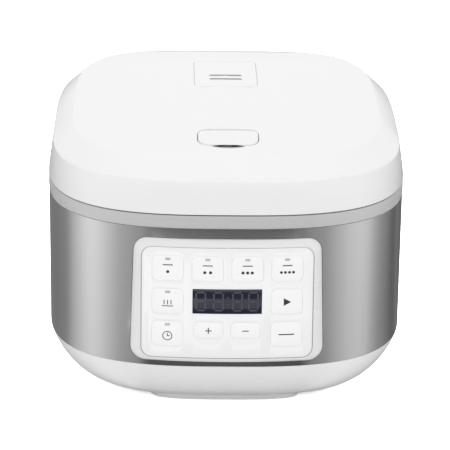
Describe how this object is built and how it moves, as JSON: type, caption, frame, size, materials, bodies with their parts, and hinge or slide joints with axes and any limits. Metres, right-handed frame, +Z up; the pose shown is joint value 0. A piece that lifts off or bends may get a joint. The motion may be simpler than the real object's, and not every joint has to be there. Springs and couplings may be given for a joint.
{
  "type": "rice cooker",
  "caption": "Countertop rice cooker with a hinged lid, steel-banded tub, front keypad and removable non-stick pot.",
  "frame": {"origin": "centre of the bounding box's footprint, on the surface that the rubber feet stand on", "axes": "+Z up, the keypad faces -Y and the lid is hinged at the +Y end, +X to the right seen from the front"},
  "size_m": [0.255, 0.3068, 0.1999],
  "materials": {
    "shell_white": "satin moulded white",
    "fascia_white": "high gloss",
    "key_white": "satin",
    "band_steel": "vertical light and dark bands of a brushed wrap",
    "collar_silver": "satin silver paint",
    "inner_white": "fine matt",
    "case_grey": "fine matt",
    "aluminium": "satin",
    "pot_coating": "dark non-stick coat",
    "element_tube": "heat-darkened",
    "spring_steel": "bright wire",
    "fixing_steel": "zinc plated",
    "brass": "plain",
    "pad_rubber": "matt",
    "seal_silicone": "translucent grey-white",
    "display_dark": "dark tinted, glossy",
    "indicator": "unlit, frosted",
    "circuit_board": "solder resist",
    "black_plastic": "fine matt",
    "transformer_core": "varnished laminations",
    "fuse_ceramic": "plain",
    "heater_foil": "foil on glass cloth"
  },
  "bodies": {
    "base": {"base_tub": "shell_white", "foot_bars": "shell_white", "foot_pads": "pad_rubber", "outer_case": "case_grey", "steel_band": "band_steel", "collar_ring": "collar_silver", "upper_deck": "inner_white", "pot_shield": "aluminium", "heater_plate": "aluminium", "heating_element": "element_tube", "thermal_fuse": "fuse_ceramic", "sensor_post": "aluminium", "panel_frame": "shell_white", "panel_fascia": "fascia_white", "display_window": "display_dark", "indicator_lenses": "indicator", "board_carrier": "inner_white", "control_board": "circuit_board", "display_module": "black_plastic", "key_switches": "fixing_steel", "board_standoffs": "brass", "power_board": "circuit_board", "transformer": "transformer_core", "relay": "black_plastic", "capacitors": "black_plastic", "body_screws": "fixing_steel", "back_panel": "shell_white", "power_inlet": "black_plastic", "inlet_prongs": "brass", "hinge_cover": "shell_white", "hinge_pin": "fixing_steel", "hinge_springs": "spring_steel", "sensor_spring": "spring_steel"},
    "sensor": {"sensor_cap": "aluminium"},
    "pot": {"inner_pot": "pot_coating"},
    "dew_cup": {"dew_cup": "inner_white"},
    "lid": {"lid_cover": "shell_white", "lid_liner": "inner_white", "inner_lid": "aluminium", "lid_gasket": "seal_silicone", "lid_heater": "heater_foil", "lid_screws": "fixing_steel", "steam_well": "inner_white", "latch_bracket": "black_plastic", "button_spring": "spring_steel"},
    "steam_lid": {"steam_cap": "shell_white", "steam_cap_base": "inner_white", "steam_seal": "seal_silicone"},
    "release_button": {"release_button": "shell_white"},
    "latch": {"lid_latch": "inner_white"},
    "menu_key_1": {"menu_key_1": "key_white"},
    "menu_key_2": {"menu_key_2": "key_white"},
    "menu_key_3": {"menu_key_3": "key_white"},
    "menu_key_4": {"menu_key_4": "key_white"},
    "warm_key": {"warm_key": "key_white"},
    "start_key": {"start_key": "key_white"},
    "timer_key": {"timer_key": "key_white"},
    "hour_key": {"hour_key": "key_white"},
    "minute_key": {"minute_key": "key_white"},
    "cancel_key": {"cancel_key": "key_white"}
  },
  "joints": [
    {"name": "lid_hinge", "type": "hinge", "parent": "base", "child": "lid", "pos_m": [0, 0.1285, 0.18007], "axis": [-1, 0, 0], "range_deg": [0, 88], "stiffness_Nm_per_rad": 0.3, "springref_deg": 100.27, "deforming": ["hinge_springs"]},
    {"name": "pot_turn", "type": "hinge", "parent": "base", "child": "pot", "pos_m": [0, -0.003, 0.03], "axis": [0, 0, 1], "continuous": true},
    {"name": "sensor_press", "type": "slide", "parent": "base", "child": "sensor", "axis": [0, 0, 1], "range_m": [-0.0015, 0], "stiffness_N_per_m": 500, "springref_m": 0.003, "deforming": ["sensor_spring"]},
    {"name": "dew_cup_pull", "type": "slide", "parent": "base", "child": "dew_cup", "axis": [0, 1, 0], "range_m": [0, 0.045]},
    {"name": "steam_lid_lift", "type": "slide", "parent": "lid", "child": "steam_lid", "axis": [0, 0, 1], "range_m": [0, 0.025]},
    {"name": "button_press", "type": "slide", "parent": "lid", "child": "release_button", "axis": [0, 0, -1], "range_m": [0, 0.003], "stiffness_N_per_m": 1200, "springref_m": -0.003, "deforming": ["button_spring"]},
    {"name": "latch_swing", "type": "hinge", "parent": "lid", "child": "latch", "pos_m": [0, -0.1298, 0.1661], "axis": [-1, 0, 0], "range_deg": [0, 7.2]},
    {"name": "menu_key_1_press", "type": "slide", "parent": "base", "child": "menu_key_1", "axis": [0, 1, 0], "range_m": [0, 0.0006], "stiffness_N_per_m": 1500, "springref_m": -0.0004},
    {"name": "menu_key_2_press", "type": "slide", "parent": "base", "child": "menu_key_2", "axis": [0, 1, 0], "range_m": [0, 0.0006], "stiffness_N_per_m": 1500, "springref_m": -0.0004},
    {"name": "menu_key_3_press", "type": "slide", "parent": "base", "child": "menu_key_3", "axis": [0, 1, 0], "range_m": [0, 0.0006], "stiffness_N_per_m": 1500, "springref_m": -0.0004},
    {"name": "menu_key_4_press", "type": "slide", "parent": "base", "child": "menu_key_4", "axis": [0, 1, 0], "range_m": [0, 0.0006], "stiffness_N_per_m": 1500, "springref_m": -0.0004},
    {"name": "warm_key_press", "type": "slide", "parent": "base", "child": "warm_key", "axis": [0, 1, 0], "range_m": [0, 0.0006], "stiffness_N_per_m": 1500, "springref_m": -0.0004},
    {"name": "start_key_press", "type": "slide", "parent": "base", "child": "start_key", "axis": [0, 1, 0], "range_m": [0, 0.0006], "stiffness_N_per_m": 1500, "springref_m": -0.0004},
    {"name": "timer_key_press", "type": "slide", "parent": "base", "child": "timer_key", "axis": [0, 1, 0], "range_m": [0, 0.0006], "stiffness_N_per_m": 1500, "springref_m": -0.0004},
    {"name": "hour_key_press", "type": "slide", "parent": "base", "child": "hour_key", "axis": [0, 1, 0], "range_m": [0, 0.0006], "stiffness_N_per_m": 1500, "springref_m": -0.0004},
    {"name": "minute_key_press", "type": "slide", "parent": "base", "child": "minute_key", "axis": [0, 1, 0], "range_m": [0, 0.0006], "stiffness_N_per_m": 1500, "springref_m": -0.0004},
    {"name": "cancel_key_press", "type": "slide", "parent": "base", "child": "cancel_key", "axis": [0, 1, 0], "range_m": [0, 0.0006], "stiffness_N_per_m": 1500, "springref_m": -0.0004}
  ],
  "couplings": [
    {"joint": "latch_swing", "follows": "button_press", "rad_per_m": 41.667}
  ]
}
